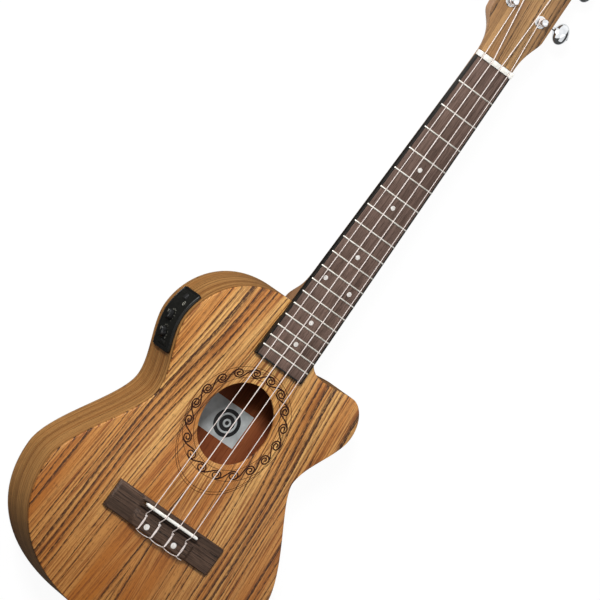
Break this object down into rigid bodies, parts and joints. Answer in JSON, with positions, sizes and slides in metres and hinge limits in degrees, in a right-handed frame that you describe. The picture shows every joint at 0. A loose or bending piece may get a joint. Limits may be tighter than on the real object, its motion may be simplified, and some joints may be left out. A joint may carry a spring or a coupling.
{
  "type": "ukulele",
  "caption": "Tenor ukulele with a cutaway, tie bridge, fretted neck, geared tuners on an angled head, and a preamp panel in its bass side; it lies on its back.",
  "frame": {"origin": "on the back's outer face, straight under the saddle line and on the centreline", "axes": "+Z out of the soundboard, +Y along the neck to the head, +X to the treble side, where the cutaway is"},
  "size_m": [0.224, 0.6564, 0.0637],
  "materials": {
    "soundboard_wood": "satin",
    "body_wood": "satin",
    "inner_wood": "matte",
    "neck_wood": "satin",
    "veneer_wood": "satin",
    "fretboard_wood": "matte",
    "bridge_wood": "matte",
    "nut_bone": "satin",
    "fret_metal": "polished",
    "string_nylon": "satin",
    "pickup_film": "satin",
    "tuner_chrome": "polished",
    "button_chrome": "polished",
    "jack_chrome": "polished",
    "panel_plastic": "matte",
    "knob_plastic": "satin",
    "button_rubber": "matte"
  },
  "bodies": {
    "root": {"soundboard": "soundboard_wood", "back": "body_wood", "side_bass": "body_wood", "side_treble": "body_wood", "neck_block": "inner_wood", "tail_block": "inner_wood", "top_lining": "inner_wood", "back_lining": "inner_wood", "top_brace_upper": "inner_wood", "top_brace_lower": "inner_wood", "back_brace": "inner_wood", "bridge_plate": "inner_wood", "neck": "neck_wood", "head_veneer": "veneer_wood", "fretboard": "fretboard_wood", "bridge": "bridge_wood", "nut": "nut_bone", "saddle": "nut_bone", "fret_01": "fret_metal", "fret_02": "fret_metal", "fret_03": "fret_metal", "fret_04": "fret_metal", "fret_05": "fret_metal", "fret_06": "fret_metal", "fret_07": "fret_metal", "fret_08": "fret_metal", "fret_09": "fret_metal", "fret_10": "fret_metal", "fret_11": "fret_metal", "fret_12": "fret_metal", "fret_13": "fret_metal", "fret_14": "fret_metal", "fret_15": "fret_metal", "fret_16": "fret_metal", "fret_17": "fret_metal", "fret_18": "fret_metal", "string_g": "string_nylon", "string_c": "string_nylon", "string_e": "string_nylon", "string_a": "string_nylon", "piezo_strip": "pickup_film", "tuner_case_1": "tuner_chrome", "tuner_case_2": "tuner_chrome", "tuner_case_3": "tuner_chrome", "tuner_case_4": "tuner_chrome", "output_jack": "jack_chrome", "preamp_housing": "panel_plastic", "preamp_plate": "panel_plastic"},
    "button_1": {"tuner_button_1": "button_chrome"},
    "post_1": {"tuner_post_1": "tuner_chrome"},
    "button_2": {"tuner_button_2": "button_chrome"},
    "post_2": {"tuner_post_2": "tuner_chrome"},
    "button_3": {"tuner_button_3": "button_chrome"},
    "post_3": {"tuner_post_3": "tuner_chrome"},
    "button_4": {"tuner_button_4": "button_chrome"},
    "post_4": {"tuner_post_4": "tuner_chrome"},
    "knob_volume": {"knob_volume": "knob_plastic"},
    "knob_tone": {"knob_tone": "knob_plastic"},
    "power_button": {"power_button": "button_rubber"},
    "battery_tray": {"battery_tray": "panel_plastic"}
  },
  "joints": [
    {"name": "button_1_turn", "type": "hinge", "parent": "root", "child": "button_1", "pos_m": [-0.0155, 0.48334, 0.0296], "axis": [-1, 0, 0], "continuous": true},
    {"name": "post_1_turn", "type": "hinge", "parent": "root", "child": "post_1", "pos_m": [-0.0155, 0.47991, 0.04412], "axis": [0, 0.1736, 0.9848], "continuous": true},
    {"name": "button_2_turn", "type": "hinge", "parent": "root", "child": "button_2", "pos_m": [-0.0155, 0.52224, 0.02274], "axis": [-1, 0, 0], "continuous": true},
    {"name": "post_2_turn", "type": "hinge", "parent": "root", "child": "post_2", "pos_m": [-0.0155, 0.51881, 0.03726], "axis": [0, 0.1736, 0.9848], "continuous": true},
    {"name": "button_3_turn", "type": "hinge", "parent": "root", "child": "button_3", "pos_m": [0.0155, 0.52224, 0.02274], "axis": [1, 0, 0], "continuous": true},
    {"name": "post_3_turn", "type": "hinge", "parent": "root", "child": "post_3", "pos_m": [0.0155, 0.51881, 0.03726], "axis": [0, 0.1736, 0.9848], "continuous": true},
    {"name": "button_4_turn", "type": "hinge", "parent": "root", "child": "button_4", "pos_m": [0.0155, 0.48334, 0.0296], "axis": [1, 0, 0], "continuous": true},
    {"name": "post_4_turn", "type": "hinge", "parent": "root", "child": "post_4", "pos_m": [0.0155, 0.47991, 0.04412], "axis": [0, 0.1736, 0.9848], "continuous": true},
    {"name": "knob_volume_turn", "type": "hinge", "parent": "root", "child": "knob_volume", "pos_m": [-0.08559, 0.1285, 0.02775], "axis": [-0.9932, -0.1166, 0], "range_deg": [-135, 135]},
    {"name": "knob_tone_turn", "type": "hinge", "parent": "root", "child": "knob_tone", "pos_m": [-0.08224, 0.1157, 0.02775], "axis": [-0.9429, -0.333, 0], "range_deg": [-135, 135]},
    {"name": "power_button_press", "type": "slide", "parent": "root", "child": "power_button", "axis": [0.9711, -0.2386, 0], "range_m": [0, 0.001], "stiffness_N_per_m": 300},
    {"name": "battery_tray_slide", "type": "slide", "parent": "root", "child": "battery_tray", "axis": [-0.9266, -0.376, 0], "range_m": [0, 0.018]}
  ],
  "couplings": [
    {"joint": "post_1_turn", "follows": "button_1_turn", "ratio": 0.071429},
    {"joint": "post_2_turn", "follows": "button_2_turn", "ratio": 0.071429},
    {"joint": "post_3_turn", "follows": "button_3_turn", "ratio": -0.071429},
    {"joint": "post_4_turn", "follows": "button_4_turn", "ratio": -0.071429}
  ]
}
